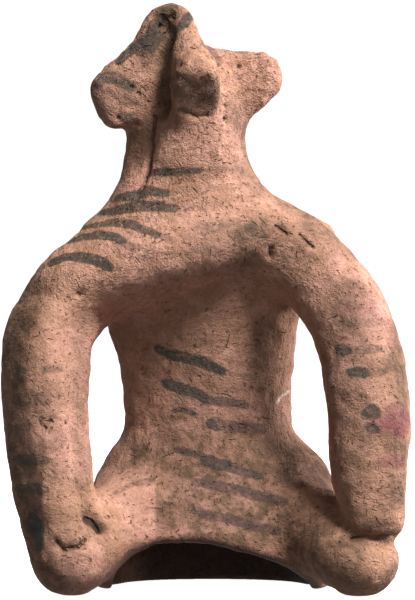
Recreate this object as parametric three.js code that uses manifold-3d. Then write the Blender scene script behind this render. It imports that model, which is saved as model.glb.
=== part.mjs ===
// A seated ape in coarse fired clay, pinched and rolled by hand: a hollow base with two stub legs,
// a narrow trunk, heavy shoulders, long arms brought forward and down onto the feet, and a flat
// head of three lobes with the muzzle pinched out of its middle.
// Millimetres, +Z up. The face looks along -Y and X runs to the viewer's right.

import * as THREE from "three";
import { mergeVertices } from "three/addons/utils/BufferGeometryUtils.js";
import Module from "manifold-3d";

// Sizes of the figure
const HEIGHT = 160;
const U = HEIGHT / 100;
const BASE_WALL = 6.4;
const HOLLOW_TOP = 25.6;
const ARCH_MIDDLE = 1.1;
const ARCH_HALF_WIDTH = 27.2;
const ARCH_TOP = 14.1;
const ARCH_SLOPE = 0.16;
const ARCH_BACK = 9.6;

// Fineness of the skin: its cells and the corners of its grid in hundredths of the height, the
// triangles of the finished surface, and the clay left below the ground until it is cut flat
const CELL = 1.25;
const LOW_CORNER = [-37.2, -26.6, -4.7];
const HIGH_CORNER = [37.5, 27.5, 102.5];
const TRIANGLES = 9400;
const FOOTING = 2.4;

// Trunk, as level slices: height, middle x, middle y, half width, half depth.
// These and the stations below are hundredths of the figure's height.
const TRUNK = [
  [-4.0, 0.8, 4.6, 19.5, 17.0],
  [4.0, 0.8, 4.8, 20.4, 16.4],
  [11.0, 0.9, 5.4, 21.0, 14.8],
  [17.0, 1.0, 6.2, 20.8, 12.0],
  [21.5, 1.1, 6.8, 18.8, 9.8],
  [26.0, 0.4, 7.0, 15.1, 8.9],
  [32.0, 0.1, 7.0, 14.5, 8.6],
  [38.0, -0.1, 6.4, 15.1, 8.6],
  [45.0, -0.7, 5.2, 16.4, 9.0],
  [52.0, -0.6, 3.0, 17.6, 9.6],
  [58.0, 0.0, 1.0, 20.1, 9.6],
  [61.5, 0.0, -0.2, 20.6, 9.4],
  [64.8, -1.2, -1.0, 16.7, 8.8],
  [68.0, -2.7, -1.4, 13.0, 8.0],
  [72.0, -3.4, -0.6, 10.9, 6.2],
  [77.0, -3.8, -0.2, 10.3, 5.2],
  [82.0, -3.9, 0.0, 9.6, 4.8],
  [86.0, -3.8, -0.8, 7.6, 4.8],
  [90.0, -4.2, -0.8, 3.4, 3.0],
];

// Rolls of clay, as stations along the middle line: x, y, z, half width, half depth
const LEFT_ARM = [
  [-12.0, -1.0, 54.0, 6.0, 6.6],
  [-20.4, -4.0, 51.7, 6.5, 6.7],
  [-26.2, -7.5, 44.9, 6.6, 6.6],
  [-27.5, -10.0, 37.0, 6.7, 6.6],
  [-27.0, -12.0, 28.0, 6.6, 6.4],
  [-26.0, -13.4, 19.0, 6.4, 6.2],
  [-25.0, -14.2, 11.8, 5.6, 5.4],
];
const RIGHT_ARM = [
  [9.0, -0.5, 58.0, 5.6, 6.4],
  [16.6, -4.4, 55.4, 6.6, 6.8],
  [22.0, -7.0, 49.4, 6.9, 7.0],
  [25.6, -9.4, 41.6, 6.9, 6.8],
  [27.0, -12.0, 31.0, 6.8, 6.6],
  [27.2, -13.6, 20.5, 6.3, 6.2],
  [28.0, -14.4, 13.6, 5.3, 5.6],
];
const YOKE = [
  [-21.0, -6.5, 51.8, 5.2, 5.4],
  [-11.0, -8.4, 56.0, 5.4, 5.4],
  [-1.0, -8.6, 58.2, 5.2, 5.2],
  [8.0, -6.4, 60.4, 4.4, 4.8],
];
const LEFT_LEG = [
  [-11.0, 2.0, 11.5, 7.4, 8.0],
  [-18.0, -7.0, 9.6, 7.0, 7.6],
  [-22.8, -14.6, 6.4, 6.6, 6.4],
];
const RIGHT_LEG = [
  [13.0, 2.0, 11.5, 7.4, 8.0],
  [20.0, -7.0, 9.4, 6.8, 7.4],
  [25.6, -14.6, 5.6, 7.0, 5.8],
];
const THROAT = [
  [-1.6, -1.6, 86.0, 6.6, 6.0],
  [-1.7, -2.4, 81.0, 7.3, 6.8],
  [-1.9, -2.8, 76.0, 7.6, 6.8],
  [-2.7, -2.6, 71.0, 8.2, 6.6],
  [-4.2, -2.2, 66.0, 9.0, 6.0],
  [-5.4, -2.0, 61.0, 8.8, 5.0],
];
const LEFT_LOBE = [
  [-8.0, -2.0, 86.4, 6.6, 3.0],
  [-12.4, -3.2, 84.8, 6.5, 2.9],
  [-16.9, -4.8, 83.0, 4.7, 2.3],
];
const RIGHT_LOBE = [
  [0.0, -2.0, 84.4, 6.8, 3.2],
  [5.4, -1.6, 85.9, 5.9, 3.0],
  [10.0, -1.2, 88.2, 3.7, 2.4],
];
const MUZZLE = [
  [-5.0, -1.4, 96.2, 2.2, 3.0],
  [-3.8, -5.4, 91.6, 2.8, 4.2],
  [-2.2, -9.6, 86.6, 3.8, 5.2],
  [-1.8, -12.8, 83.0, 3.8, 4.9],
];
const GROOVE = [
  [-7.3, -5.2, 97.0, 0.9, 1.2],
  [-7.0, -6.2, 92.0, 1.2, 1.8],
  [-6.9, -6.8, 86.0, 1.4, 2.2],
  [-7.6, -7.0, 81.0, 0.8, 1.4],
];

// Lumps of clay: middle and half sizes
const CROWN = { middle: [-6.7, -1.8, 90.8], half: [5.6, 4.0, 9.1] };
const BROW = { middle: [-9.0, -2.0, 87.0], half: [6.0, 3.0, 7.0] };

// The muzzle's flat end: a point on it and the way it faces
const SNOUT_POINT = [-1.8, -15.2, 88.0];
const SNOUT_NORMAL = [0.1, -0.82, -0.56];

const wasm = await Module();
wasm.setup();

// Blends of two distances: the smaller (a join) and the larger (a cut), rounded over a width k
function join(a, b, k) {
  const h = Math.max(k - Math.abs(a - b), 0) / k;
  return Math.min(a, b) - h * h * k * 0.25;
}

function cut(a, b, k) {
  return -join(-a, -b, k);
}

function ramp(a, b, x) {
  const t = Math.min(Math.max((x - a) / (b - a), 0), 1);
  return t * t * (3 - 2 * t);
}

// A row of stations drawn out along a smooth curve, with `per` steps between two stations
function drawnOut(stations, per) {
  const count = stations.length;
  const columns = stations[0].map((_, c) => stations.map((row) => row[c]));
  const ends = columns.map((v) => [2 * v[0] - v[1], ...v, 2 * v[count - 1] - v[count - 2]]);
  const rows = [];
  for (let i = 0; i < count - 1; i++) {
    const steps = i === count - 2 ? per + 1 : per;
    for (let s = 0; s < steps; s++) {
      const t = s / per;
      rows.push(ends.map((v) => {
        const [p, q, r, w] = v.slice(i, i + 4);
        const linear = (r - p) * t;
        const square = (2 * p - 5 * q + 4 * r - w) * t * t;
        const cube = (3 * q - p - 3 * r + w) * t * t * t;
        return 0.5 * (2 * q + linear + square + cube);
      }));
    }
  }
  return rows;
}

// A roll of clay: the distance to a chain of short tapered pieces whose section is a rounded
// rectangle. `depthAxis` says which way the section's depth lies; `power` squares the section.
function roll(stations, depthAxis, power) {
  const rows = drawnOut(stations, 6).map((row) => row.map((v) => v * U));
  const pieces = [];
  const box = new THREE.Box3();
  for (let i = 0; i + 1 < rows.length; i++) {
    const start = new THREE.Vector3(...rows[i]);
    const end = new THREE.Vector3(...rows[i + 1]);
    const along = end.clone().sub(start);
    const length = along.length();
    along.divideScalar(length);
    const deep = new THREE.Vector3(...depthAxis);
    deep.addScaledVector(along, -deep.dot(along)).normalize();
    const wide = new THREE.Vector3().crossVectors(deep, along);
    pieces.push({ start, along, length, deep, wide, a: rows[i], b: rows[i + 1] });
    box.expandByPoint(start);
    box.expandByPoint(end);
  }
  box.expandByScalar(Math.max(...rows.map((row) => Math.max(row[3], row[4]))) + 14);
  const at = new THREE.Vector3();
  return (x, y, z) => {
    at.set(x, y, z);
    if (!box.containsPoint(at)) {
      return 60;
    }
    let best = 60;
    for (const piece of pieces) {
      const dx = x - piece.start.x;
      const dy = y - piece.start.y;
      const dz = z - piece.start.z;
      const run = dx * piece.along.x + dy * piece.along.y + dz * piece.along.z;
      const share = Math.min(Math.max(run / piece.length, 0), 1);
      const halfWidth = piece.a[3] + (piece.b[3] - piece.a[3]) * share;
      const halfDepth = piece.a[4] + (piece.b[4] - piece.a[4]) * share;
      const radius = Math.min(halfWidth, halfDepth);
      const past = (run - share * piece.length) / radius;
      const u = Math.abs(dx * piece.wide.x + dy * piece.wide.y + dz * piece.wide.z) / halfWidth;
      const v = Math.abs(dx * piece.deep.x + dy * piece.deep.y + dz * piece.deep.z) / halfDepth;
      const section = (u ** power + v ** power) ** (2 / power);
      best = Math.min(best, (Math.sqrt(section + past * past) - 1) * radius);
    }
    return best;
  };
}

// A lump of clay: the distance to an ellipsoid
function lump({ middle, half }) {
  return (x, y, z) => {
    const q = [x, y, z].map((v, i) => v - middle[i] * U);
    const near = Math.hypot(...q.map((v, i) => v / (half[i] * U)));
    const slope = Math.hypot(...q.map((v, i) => v / (half[i] * U) ** 2));
    return (near * (near - 1)) / Math.max(slope, 1e-9);
  };
}

// Slices stacked one above another, each a rounded oblong, with smooth sides between them
function stack(slices, power) {
  const heights = slices.map((row) => row[0]);
  const last = slices.length - 1;
  const slopes = slices.map((row, i) => {
    if (i === 0 || i === last) {
      const [p, q] = i === 0 ? [slices[0], slices[1]] : [slices[last - 1], slices[last]];
      return row.map((_, c) => (q[c] - p[c]) / (q[0] - p[0]));
    }
    const below = heights[i] - heights[i - 1];
    const above = heights[i + 1] - heights[i];
    return row.map((v, c) => {
      const down = (v - slices[i - 1][c]) / below;
      const up = (slices[i + 1][c] - v) / above;
      return (down * above + up * below) / (above + below);
    });
  });
  return (px, py, pz) => {
    const z = pz / U;
    let i = 0;
    while (i < last - 1 && z > heights[i + 1]) {
      i++;
    }
    const h = heights[i + 1] - heights[i];
    const t = Math.min(Math.max((z - heights[i]) / h, 0), 1);
    const value = (c) => {
      const smooth = slices[i][c] * (1 + 2 * t) * (1 - t) ** 2 + slices[i + 1][c] * t * t * (3 - 2 * t);
      return smooth + h * (slopes[i][c] * t * (1 - t) ** 2 - slopes[i + 1][c] * t * t * (1 - t));
    };
    const slope = (c) => {
      const swing = 6 * t * (t - 1) * (slices[i][c] - slices[i + 1][c]) / h;
      return swing + slopes[i][c] * (1 - t) * (1 - 3 * t) + slopes[i + 1][c] * t * (3 * t - 2);
    };
    const halfWidth = value(3);
    const halfDepth = value(4);
    const u = (px / U - value(1)) / halfWidth;
    const v = (py / U - value(2)) / halfDepth;
    const ring = Math.max((Math.abs(u) ** power + Math.abs(v) ** power) ** (1 / power), 1e-4);
    const du = (Math.abs(u) / ring) ** (power - 1) * Math.sign(u);
    const dv = (Math.abs(v) / ring) ** (power - 1) * Math.sign(v);
    const rise = (du * (u * slope(3) + slope(1))) / halfWidth + (dv * (v * slope(4) + slope(2))) / halfDepth;
    const steep = Math.hypot(du / halfWidth, dv / halfDepth, rise);
    let d = Math.max((ring - 1) / Math.max(steep, 1e-4), -Math.min(halfWidth, halfDepth));
    const past = Math.max(heights[0] - z, z - heights[last]);
    if (past > 0) {
      d = Math.hypot(Math.max(d, 0), past);
    }
    return d * U;
  };
}

// The parts of the figure
const trunkSide = stack(TRUNK, 2.2);
const throat = roll(THROAT, [0, 1, 0], 2.4);
const yoke = roll(YOKE, [0, 1, 0], 2);
const leftLeg = roll(LEFT_LEG, [0, 0, 1], 2);
const rightLeg = roll(RIGHT_LEG, [0, 0, 1], 2);
const leftArm = roll(LEFT_ARM, [1, 1, 0], 3);
const rightArm = roll(RIGHT_ARM, [0, 1, 0], 2.5);
const leftLobe = roll(LEFT_LOBE, [0, 1, 0], 2.6);
const rightLobe = roll(RIGHT_LOBE, [0, 1, 0], 2.6);
const muzzleRidge = roll(MUZZLE, [0, 0, 1], 2.4);
const groove = roll(GROOVE, [1, 0, 0], 2);
const crown = lump(CROWN);
const brow = lump(BROW);

// How far a point is from the clay's surface, less than nothing inside
function clay(x, y, z) {
  const level = z / U;
  const trunk = trunkSide(x, y, z);
  let body = join(trunk, throat(x, y, z), 1.4 + 2.6 * ramp(70, 62, level));
  body = join(body, yoke(x, y, z), 7);
  body = join(body, leftLeg(x, y, z), 6);
  body = join(body, rightLeg(x, y, z), 6);

  // The hollow under the lap, and the arch that opens it to the front
  let hollow = cut(trunk + BASE_WALL, z - HOLLOW_TOP, 6);
  const archTop = ARCH_TOP - ARCH_SLOPE * (x + 4.8);
  const span = (x - ARCH_MIDDLE) / ARCH_HALF_WIDTH;
  const arch = (Math.hypot(span, Math.max(z, 0) / archTop) - 1) * 11.2;
  hollow = join(hollow, cut(arch, y - ARCH_BACK, 4), 5);
  body = cut(body, -hollow, 2.6);

  // Arms melt into the shoulders and are pressed onto the feet
  const melt = ramp(45, 56, level);
  body = join(body, leftArm(x, y, z), 4 + 6 * melt);
  body = join(body, rightArm(x, y, z), 2.2 + 4 * melt);

  // Head: crown, brow and side lobes, with the muzzle standing out and cut off flat
  let head = join(crown(x, y, z), leftLobe(x, y, z), 3);
  head = join(head, brow(x, y, z), 3);
  head = join(head, rightLobe(x, y, z), 3);
  const offEnd = [x, y, z].map((v, i) => v - SNOUT_POINT[i] * U);
  const end = offEnd.reduce((sum, v, i) => sum + v * SNOUT_NORMAL[i], 0);
  head = join(head, cut(muzzleRidge(x, y, z), end, 1.6), 1.8);
  body = join(body, head, 4);
  body = cut(body, -groove(x, y, z), 2);
  return Math.max(body, -z - FOOTING);
}

// The way out of the clay at a point
function outward(p, reach) {
  const [x, y, z] = p;
  const slope = [
    clay(x + reach, y, z) - clay(x - reach, y, z),
    clay(x, y + reach, z) - clay(x, y - reach, z),
    clay(x, y, z + reach) - clay(x, y, z - reach),
  ];
  return slope.map((v) => v / (2 * reach));
}

// A point moved onto the clay's surface
function settled(p, steps) {
  let q = p;
  for (let s = 0; s < steps; s++) {
    const slope = outward(q, 0.15);
    const steep = slope[0] ** 2 + slope[1] ** 2 + slope[2] ** 2;
    const off = Math.max(Math.min(clay(...q) / Math.max(steep, 0.2), 1), -1);
    q = q.map((v, i) => v - off * slope[i]);
  }
  return q;
}

// Each point drawn halfway to the mean of its neighbours, so that they lie evenly on the skin
function evened(points, faces) {
  const sums = points.map(() => [0, 0, 0]);
  const counts = points.map(() => 0);
  for (const face of faces) {
    face.forEach((from, e) => {
      const to = points[face[(e + 1) % 3]];
      to.forEach((v, c) => {
        sums[from][c] += v;
      });
      counts[from]++;
    });
  }
  return points.map((p, i) => p.map((v, c) => (v + sums[i][c] / counts[i]) / 2));
}

// A closed skin round the clay: one point in each cell that the surface crosses, and one
// four-sided face round each cell edge that it crosses
function skin(low, high, step) {
  const size = low.map((v, i) => Math.ceil((high[i] - v) / step) + 1);
  const index = (i, j, k) => i + size[0] * (j + size[1] * k);
  const values = new Float64Array(size[0] * size[1] * size[2]);
  for (let k = 0; k < size[2]; k++) {
    for (let j = 0; j < size[1]; j++) {
      for (let i = 0; i < size[0]; i++) {
        values[index(i, j, k)] = clay(low[0] + i * step, low[1] + j * step, low[2] + k * step);
      }
    }
  }
  const jump = [1, size[0], size[0] * size[1]];
  const points = [];
  const pointOf = new Map();
  for (let k = 0; k + 1 < size[2]; k++) {
    for (let j = 0; j + 1 < size[1]; j++) {
      for (let i = 0; i + 1 < size[0]; i++) {
        const here = index(i, j, k);
        const sum = [0, 0, 0];
        let crossings = 0;
        for (let axis = 0; axis < 3; axis++) {
          for (const corner of [0, 1, 2, 3]) {
            const side = (axis + 1) % 3;
            const up = (axis + 2) % 3;
            const offset = [0, 0, 0];
            offset[side] = corner & 1;
            offset[up] = corner >> 1;
            const a = here + offset[side] * jump[side] + offset[up] * jump[up];
            const va = values[a];
            const vb = values[a + jump[axis]];
            if (va < 0 !== vb < 0) {
              offset[axis] = va / (va - vb);
              offset.forEach((v, c) => {
                sum[c] += v;
              });
              crossings++;
            }
          }
        }
        if (crossings > 0) {
          pointOf.set(here, points.length);
          const cell = [i, j, k];
          points.push(sum.map((v, c) => low[c] + (cell[c] + v / crossings) * step));
        }
      }
    }
  }
  const faces = [];
  for (let k = 1; k + 1 < size[2]; k++) {
    for (let j = 1; j + 1 < size[1]; j++) {
      for (let i = 1; i + 1 < size[0]; i++) {
        const here = index(i, j, k);
        for (let axis = 0; axis < 3; axis++) {
          const inside = values[here] < 0;
          if (inside === values[here + jump[axis]] < 0) {
            continue;
          }
          const side = jump[(axis + 1) % 3];
          const up = jump[(axis + 2) % 3];
          const ring = [here - side - up, here - up, here, here - side].map((c) => pointOf.get(c));
          if (!inside) {
            ring.reverse();
          }
          const [a, b, c, d] = ring;
          const first = new THREE.Vector3(...points[a]).distanceTo(new THREE.Vector3(...points[c]));
          const second = new THREE.Vector3(...points[b]).distanceTo(new THREE.Vector3(...points[d]));
          faces.push(...(first < second ? [[a, b, c], [a, c, d]] : [[a, b, d], [b, c, d]]));
        }
      }
    }
  }
  return { points, faces };
}

// How far a point lies from the flat faces gathered in a corner, squared and summed by area
function misfit(q, [x, y, z]) {
  const square = q[0] * x * x + q[4] * y * y + q[7] * z * z;
  const mixed = 2 * (q[1] * x * y + q[2] * x * z + q[5] * y * z);
  return square + mixed + 2 * (q[3] * x + q[6] * y + q[8] * z) + q[9];
}

function normalOf(a, b, c) {
  const p = new THREE.Vector3(...a);
  const side = new THREE.Vector3(...b).sub(p);
  return side.cross(new THREE.Vector3(...c).sub(p));
}

// Fewer and larger faces where the clay is flat: the edges that can be closed up with the least
// change of shape go first, a batch at a time, until `target` faces are left
function thinned({ points, faces }, target) {
  const fits = points.map(() => new Array(10).fill(0));
  for (const face of faces) {
    const normal = normalOf(...face.map((v) => points[v]));
    const area = normal.length() / 2;
    normal.normalize();
    const { x, y, z } = normal;
    const d = -normal.dot(new THREE.Vector3(...points[face[0]]));
    const terms = [x * x, x * y, x * z, x * d, y * y, y * z, y * d, z * z, z * d, d * d];
    for (const v of face) {
      terms.forEach((term, t) => {
        fits[v][t] += term * area;
      });
    }
  }
  let live = faces;
  while (live.length > target) {
    const around = points.map(() => []);
    live.forEach((face) => face.forEach((v) => around[v].push(face)));
    const edges = [];
    for (const face of live) {
      for (let e = 0; e < 3; e++) {
        const a = face[e];
        const b = face[(e + 1) % 3];
        if (a < b) {
          const middle = points[a].map((v, i) => (v + points[b][i]) / 2);
          const length = Math.hypot(...points[a].map((v, i) => v - points[b][i]));
          const both = fits[a].map((v, t) => v + fits[b][t]);
          edges.push({ a, b, middle, both, cost: misfit(both, middle) + 0.002 * length * length });
        }
      }
    }
    edges.sort((first, second) => first.cost - second.cost);
    const busy = new Uint8Array(points.length);
    let left = Math.min(Math.ceil((live.length - target) / 2), Math.ceil(edges.length * 0.05));
    for (const { a, b, middle, both } of edges) {
      if (left === 0) {
        break;
      }
      if (busy[a] || busy[b]) {
        continue;
      }
      const ringA = new Set(around[a].flat());
      const ringB = new Set(around[b].flat());
      const shared = [...ringA].filter((v) => ringB.has(v));
      if (shared.length !== 4) {
        continue;
      }
      const place = settled(middle, 2);
      const kept = [...around[a], ...around[b]].filter((face) => !(face.includes(a) && face.includes(b)));
      const sound = kept.every((face) => {
        const before = normalOf(...face.map((v) => points[v]));
        const corners = face.map((v) => (v === a || v === b ? place : points[v]));
        const after = normalOf(...corners);
        const longest = Math.max(...corners.map((p, i) => {
          const q = corners[(i + 1) % 3];
          return (p[0] - q[0]) ** 2 + (p[1] - q[1]) ** 2 + (p[2] - q[2]) ** 2;
        }));
        return before.dot(after) > 0.7 * before.length() * after.length() && after.length() > 0.16 * longest;
      });
      if (!sound) {
        continue;
      }
      [...ringA, ...ringB].forEach((v) => {
        busy[v] = 1;
      });
      points[a] = place;
      fits[a] = both;
      for (const face of around[b]) {
        face[face.indexOf(b)] = a;
      }
      left--;
    }
    const before = live.length;
    live = live.filter(([a, b, c]) => a !== b && b !== c && c !== a);
    if (live.length === before) {
      break;
    }
  }
  return { points, faces: live };
}

function solid(geometry) {
  for (const name of Object.keys(geometry.attributes)) {
    if (name !== "position") {
      geometry.deleteAttribute(name);
    }
  }
  const merged = mergeVertices(geometry, 1e-4);
  return new wasm.Manifold(new wasm.Mesh({
    numProp: 3,
    vertProperties: new Float32Array(merged.attributes.position.array),
    triVerts: new Uint32Array(merged.index.array),
  }));
}

// Whether each edge has just two faces, as on a single closed surface
function closedOnce(faces) {
  const seen = new Map();
  for (const face of faces) {
    for (let e = 0; e < 3; e++) {
      const ends = [face[e], face[(e + 1) % 3]].sort((a, b) => a - b).join();
      seen.set(ends, (seen.get(ends) ?? 0) + 1);
    }
  }
  return [...seen.values()].every((count) => count === 2);
}

// Where two folds of clay pass through one cell, the grid is moved a little and tried again
let fine;
for (let tries = 0; tries < 8 && !(fine && closedOnce(fine.faces)); tries++) {
  const shift = tries * 0.17 * CELL;
  const low = LOW_CORNER.map((v) => (v - shift) * U);
  fine = skin(low, HIGH_CORNER.map((v) => v * U), CELL * U);
}
fine.points = fine.points.map((p) => settled(p, 3));
for (let round = 0; round < 3; round++) {
  fine.points = evened(fine.points, fine.faces).map((p) => settled(p, 1));
}
const rough = thinned(fine, TRIANGLES);
const clayBody = new THREE.BufferGeometry();
clayBody.setAttribute("position", new THREE.Float32BufferAttribute(rough.points.flat(), 3));
clayBody.setIndex(rough.faces.flat());

// The underside is cut level, so that the feet and the back rim meet the ground
const ground = new THREE.BoxGeometry(400, 400, 40).translate(0, 0, -20);
const standing = solid(clayBody).subtract(solid(ground)).getMesh();

const surface = new THREE.BufferGeometry();
surface.setAttribute("position", new THREE.Float32BufferAttribute(standing.vertProperties, 3));
surface.setIndex(Array.from(standing.triVerts));
surface.computeBoundingBox();
const { min, max } = surface.boundingBox;
surface.translate(-(min.x + max.x) / 2, -(min.y + max.y) / 2, -min.z);

const terracotta = new THREE.MeshStandardMaterial({ color: 0xb9805f, roughness: 0.9, metalness: 0 });
const figurine = new THREE.Mesh(surface, terracotta);
figurine.name = "ape_figurine";

const group = new THREE.Group();
group.add(figurine);

export default group;
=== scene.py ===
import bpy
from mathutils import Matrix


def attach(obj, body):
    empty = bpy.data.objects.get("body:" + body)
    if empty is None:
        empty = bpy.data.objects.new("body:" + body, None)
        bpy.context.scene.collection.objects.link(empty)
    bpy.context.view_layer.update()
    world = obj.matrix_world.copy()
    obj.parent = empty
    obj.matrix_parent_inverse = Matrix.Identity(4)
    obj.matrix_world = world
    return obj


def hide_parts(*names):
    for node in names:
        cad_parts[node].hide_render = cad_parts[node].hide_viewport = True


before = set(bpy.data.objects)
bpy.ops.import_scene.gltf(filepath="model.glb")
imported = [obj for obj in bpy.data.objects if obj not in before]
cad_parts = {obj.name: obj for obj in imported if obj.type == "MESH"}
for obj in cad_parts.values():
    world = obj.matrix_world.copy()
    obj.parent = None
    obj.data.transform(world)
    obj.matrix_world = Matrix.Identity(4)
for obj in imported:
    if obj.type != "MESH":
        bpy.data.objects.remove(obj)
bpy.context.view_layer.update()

import math
import bpy
import numpy as np
from mathutils import Vector
from mathutils.bvhtree import BVHTree

# The figurine: one body of coarse clay with chopped straw in it, rolled, pinched and smoothed by
# hand. The trunk is a stack of level slices, the limbs and the muzzle are rolls, and the joins
# are wiped over. Sizes are hundredths of the figure's height; the face looks along -Y.

height = 160.0
unit = height / 100
base_wall = 6.4

trunk_slices = np.array([
    # level, middle x, middle y, half width, half depth
    [-4.0, 0.8, 4.6, 19.5, 17.0],
    [4.0, 0.8, 4.8, 20.4, 16.4],
    [11.0, 0.9, 5.4, 21.0, 14.8],
    [17.0, 1.0, 6.2, 20.8, 12.0],
    [21.5, 1.1, 6.8, 18.8, 9.8],
    [26.0, 0.4, 7.0, 15.1, 8.9],
    [32.0, 0.1, 7.0, 14.5, 8.6],
    [38.0, -0.1, 6.4, 15.1, 8.6],
    [45.0, -0.7, 5.2, 16.4, 9.0],
    [52.0, -0.6, 3.0, 17.6, 9.6],
    [58.0, 0.0, 1.0, 20.1, 9.6],
    [61.5, 0.0, -0.2, 20.6, 9.4],
    [64.8, -1.2, -1.0, 16.7, 8.8],
    [68.0, -2.7, -1.4, 13.0, 8.0],
    [72.0, -3.4, -0.6, 10.9, 6.2],
    [77.0, -3.8, -0.2, 10.3, 5.2],
    [82.0, -3.9, 0.0, 9.6, 4.8],
    [86.0, -3.8, -0.8, 7.6, 4.8],
    [90.0, -4.2, -0.8, 3.4, 3.0],
])

rolls = {
    # x, y, z, half width, half depth at each station; then the depth's direction and the squareness
    "left arm": ([
        [-12.0, -1.0, 54.0, 6.0, 6.6],
        [-20.4, -4.0, 51.7, 6.5, 6.7],
        [-26.2, -7.5, 44.9, 6.6, 6.6],
        [-27.5, -10.0, 37.0, 6.7, 6.6],
        [-27.0, -12.0, 28.0, 6.6, 6.4],
        [-26.0, -13.4, 19.0, 6.4, 6.2],
        [-25.0, -14.2, 11.8, 5.6, 5.4]], (1, 1, 0), 3.0),
    "right arm": ([
        [9.0, -0.5, 58.0, 5.6, 6.4],
        [16.6, -4.4, 55.4, 6.6, 6.8],
        [22.0, -7.0, 49.4, 6.9, 7.0],
        [25.6, -9.4, 41.6, 6.9, 6.8],
        [27.0, -12.0, 31.0, 6.8, 6.6],
        [27.2, -13.6, 20.5, 6.3, 6.2],
        [28.0, -14.4, 13.6, 5.3, 5.6]], (0, 1, 0), 2.5),
    "yoke": ([
        [-21.0, -6.5, 51.8, 5.2, 5.4],
        [-11.0, -8.4, 56.0, 5.4, 5.4],
        [-1.0, -8.6, 58.2, 5.2, 5.2],
        [8.0, -6.4, 60.4, 4.4, 4.8]], (0, 1, 0), 2.0),
    "left leg": ([
        [-11.0, 2.0, 11.5, 7.4, 8.0],
        [-18.0, -7.0, 9.6, 7.0, 7.6],
        [-22.8, -14.6, 6.4, 6.6, 6.4]], (0, 0, 1), 2.0),
    "right leg": ([
        [13.0, 2.0, 11.5, 7.4, 8.0],
        [20.0, -7.0, 9.4, 6.8, 7.4],
        [25.6, -14.6, 5.6, 7.0, 5.8]], (0, 0, 1), 2.0),
    "throat": ([
        [-1.6, -1.6, 86.0, 6.6, 6.0],
        [-1.7, -2.4, 81.0, 7.3, 6.8],
        [-1.9, -2.8, 76.0, 7.6, 6.8],
        [-2.7, -2.6, 71.0, 8.2, 6.6],
        [-4.2, -2.2, 66.0, 9.0, 6.0],
        [-5.4, -2.0, 61.0, 8.8, 5.0]], (0, 1, 0), 2.4),
    "left lobe": ([
        [-8.0, -2.0, 86.4, 6.6, 3.0],
        [-12.4, -3.2, 84.8, 6.5, 2.9],
        [-16.9, -4.8, 83.0, 4.7, 2.3]], (0, 1, 0), 2.6),
    "right lobe": ([
        [0.0, -2.0, 84.4, 6.8, 3.2],
        [5.4, -1.6, 85.9, 5.9, 3.0],
        [10.0, -1.2, 88.2, 3.7, 2.4]], (0, 1, 0), 2.6),
    "muzzle": ([
        [-5.0, -1.4, 96.2, 2.2, 3.0],
        [-3.8, -5.4, 91.6, 2.8, 4.2],
        [-2.2, -9.6, 86.6, 3.8, 5.2],
        [-1.8, -12.8, 83.0, 3.8, 4.9]], (0, 0, 1), 2.4),
    "groove": ([
        [-7.3, -5.2, 97.0, 0.9, 1.2],
        [-7.0, -6.2, 92.0, 1.2, 1.8],
        [-6.9, -6.8, 86.0, 1.4, 2.2],
        [-7.6, -7.0, 81.0, 0.8, 1.4]], (1, 0, 0), 2.0),
}


def joined(a, b, k):
    """The smaller of two distances, rounded off over a width k: two pieces of clay wiped together."""
    near = np.maximum(k - np.abs(a - b), 0) / k
    return np.minimum(a, b) - near * near * k / 4


def cut(a, b, k):
    """The larger of two distances, rounded off over a width k: one shape trimmed by another."""
    return -joined(-a, -b, k)


def ramp(a, b, x):
    """0 before a, 1 after b, and the smooth curve 3t^2 - 2t^3 between them."""
    t = np.clip((x - a) / (b - a), 0, 1)
    return t * t * (3 - 2 * t)


def drawn_out(stations, per):
    """Catmull-Rom curve through the stations, with `per` steps from each one to the next."""
    s = np.asarray(stations, float)
    s = np.vstack([2 * s[0] - s[1], s, 2 * s[-1] - s[-2]])
    t = np.linspace(0, 1, per, endpoint=False)[None, :, None]
    p, q, r, w = (s[i:len(s) - 3 + i, None, :] for i in range(4))
    rows = 0.5 * (2 * q + (r - p) * t + (2 * p - 5 * q + 4 * r - w) * t ** 2
                  + (3 * q - p - 3 * r + w) * t ** 3)
    return np.vstack([rows.reshape(-1, s.shape[1]), s[-2]])


def roll_distance(p, name):
    """Distance to a roll. Each short length of it is a cone whose section is a superellipse:
    (|u|/half width)^n + (|v|/half depth)^n, raised to 1/n, less 1, times the smaller half size."""
    stations, depth_axis, n = rolls[name]
    rows = drawn_out(stations, 6) * unit
    out = np.full(len(p), 60.0)
    reach = rows[:, 3:].max() + 14
    near = np.all((p > rows[:, :3].min(0) - reach) & (p < rows[:, :3].max(0) + reach), axis=1)
    q = p[near]
    best = np.full(len(q), 60.0)
    for a, b in zip(rows[:-1], rows[1:]):
        along = b[:3] - a[:3]
        length = np.linalg.norm(along)
        along = along / length
        deep = np.asarray(depth_axis, float)
        deep = deep - (deep @ along) * along
        deep /= np.linalg.norm(deep)
        wide = np.cross(deep, along)
        run = (q - a[:3]) @ along
        share = np.clip(run / length, 0, 1)
        half_width = a[3] + (b[3] - a[3]) * share
        half_depth = a[4] + (b[4] - a[4]) * share
        radius = np.minimum(half_width, half_depth)
        past = (run - share * length) / radius
        u = np.abs((q - a[:3]) @ wide) / half_width
        v = np.abs((q - a[:3]) @ deep) / half_depth
        ring = np.sqrt((u ** n + v ** n) ** (2 / n) + past ** 2)
        best = np.minimum(best, (ring - 1) * radius)
    out[near] = best
    return out


def lump_distance(p, middle, half):
    """First-order distance to an ellipsoid: k(k - 1) over the length of k's slope."""
    q = p - np.array(middle) * unit
    r = np.array(half) * unit
    k = np.linalg.norm(q / r, axis=1)
    return k * (k - 1) / np.maximum(np.linalg.norm(q / r ** 2, axis=1), 1e-9)


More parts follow.
